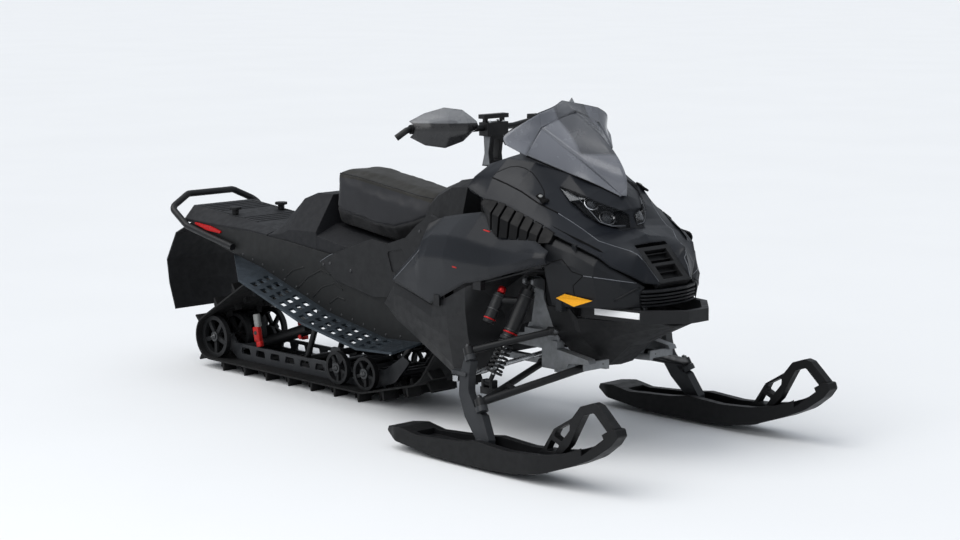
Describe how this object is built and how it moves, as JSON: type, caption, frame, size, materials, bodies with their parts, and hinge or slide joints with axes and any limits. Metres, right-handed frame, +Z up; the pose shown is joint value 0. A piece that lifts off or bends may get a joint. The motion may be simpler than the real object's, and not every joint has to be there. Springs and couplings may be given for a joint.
{
  "type": "snowmobile",
  "caption": "Trail snowmobile with faceted bodywork, tinted shield, long lugged track on slide rails and two skis that steer with the handlebar.",
  "frame": {"origin": "on the floor under the middle of the vehicle's box", "axes": "+X towards the ski tips, +Y to the rider's left, +Z up"},
  "size_m": [3.0538, 1.217, 1.2236],
  "materials": {
    "body_paint": "satin charcoal paint with a bluish tint",
    "black_plastic": "grained black moulding",
    "tint": "tinted polycarbonate",
    "lamp_lens": "clear lens over a bright bowl",
    "red_lens": "red lens",
    "amber_lens": "amber reflector",
    "white_strip": "white strip",
    "black_metal": "black powder coat",
    "tunnel_paint": "dark coated sheet",
    "board_metal": "coated blue-grey sheet",
    "cast_metal": "light grey casting",
    "steel": "plain steel",
    "track_rubber": "moulded rubber",
    "flap_rubber": "flexible flap",
    "grip_rubber": "ribbed grip",
    "wheel_plastic": "idler wheel",
    "ski_plastic": "dense ski plastic",
    "guard_plastic": "smoky hand guard",
    "seat_cover": "grained seat vinyl",
    "engine_metal": "cast engine block",
    "rail_metal": "extruded rail",
    "damper_metal": "damper body"
  },
  "bodies": {
    "chassis": {"track": "track_rubber", "rear_idlers": "wheel_plastic", "mid_idlers": "wheel_plastic", "upper_idlers": "wheel_plastic", "drive_axle": "steel", "slide_rails": "rail_metal", "tunnel": "tunnel_paint", "running_boards": "board_metal", "rear_bumper": "black_metal", "snow_flap": "flap_rubber", "tail_housing": "black_plastic", "rear_trunk": "black_plastic", "tail_lamps": "red_lens", "cargo_anchors": "black_plastic", "seat": "seat_cover", "console": "black_plastic", "side_covers": "black_plastic", "engine": "engine_metal", "side_panel_right": "body_paint", "side_panel_left": "body_paint", "lower_panel_right": "black_plastic", "lower_panel_left": "black_plastic", "hood": "body_paint", "windshield": "tint", "headlamps": "lamp_lens", "nose_grille": "black_plastic", "nose_cowl": "body_paint", "belly_pan": "black_plastic", "front_bumper": "black_metal", "bumper_strips": "white_strip", "side_vents": "black_plastic", "gauge_pod": "black_plastic", "side_markers": "amber_lens", "front_frame": "cast_metal", "upper_arms": "black_metal", "lower_arms": "black_metal", "front_shocks": "damper_metal", "suspension_arms": "black_metal", "rear_shocks": "damper_metal"},
    "handlebar_group": {"handlebar": "black_metal", "steering_post": "steel", "grips": "grip_rubber", "hand_guards": "guard_plastic", "controls": "black_plastic"},
    "ski_right_group": {"spindle_right": "black_metal", "ski_right": "ski_plastic", "ski_loop_right": "ski_plastic", "wear_bar_right": "steel"},
    "ski_left_group": {"spindle_left": "black_metal", "ski_left": "ski_plastic", "ski_loop_left": "ski_plastic", "wear_bar_left": "steel"},
    "tie_rod_group": {"tie_rods": "steel"}
  },
  "joints": [
    {"name": "steering", "type": "hinge", "parent": "chassis", "child": "handlebar_group", "pos_m": [0.335, 0, 0.965], "axis": [-0.6157, 0, 0.788], "range_deg": [-34, 34]},
    {"name": "ski_right_turn", "type": "hinge", "parent": "chassis", "child": "ski_right_group", "pos_m": [0.835, -0.525, 0.215], "axis": [-0.4616, 0.1433, 0.8754], "range_deg": [-29, 29]},
    {"name": "ski_left_turn", "type": "hinge", "parent": "chassis", "child": "ski_left_group", "pos_m": [0.835, 0.525, 0.215], "axis": [-0.4616, -0.1433, 0.8754], "range_deg": [-29, 29]},
    {"name": "tie_rod_shift", "type": "slide", "parent": "chassis", "child": "tie_rod_group", "axis": [0, -1, 0], "range_m": [-0.045, 0.045]}
  ],
  "couplings": [
    {"joint": "ski_right_turn", "follows": "steering", "ratio": 0.85},
    {"joint": "ski_left_turn", "follows": "steering", "ratio": 0.85},
    {"joint": "tie_rod_shift", "follows": "steering", "m_per_rad": 0.075}
  ]
}
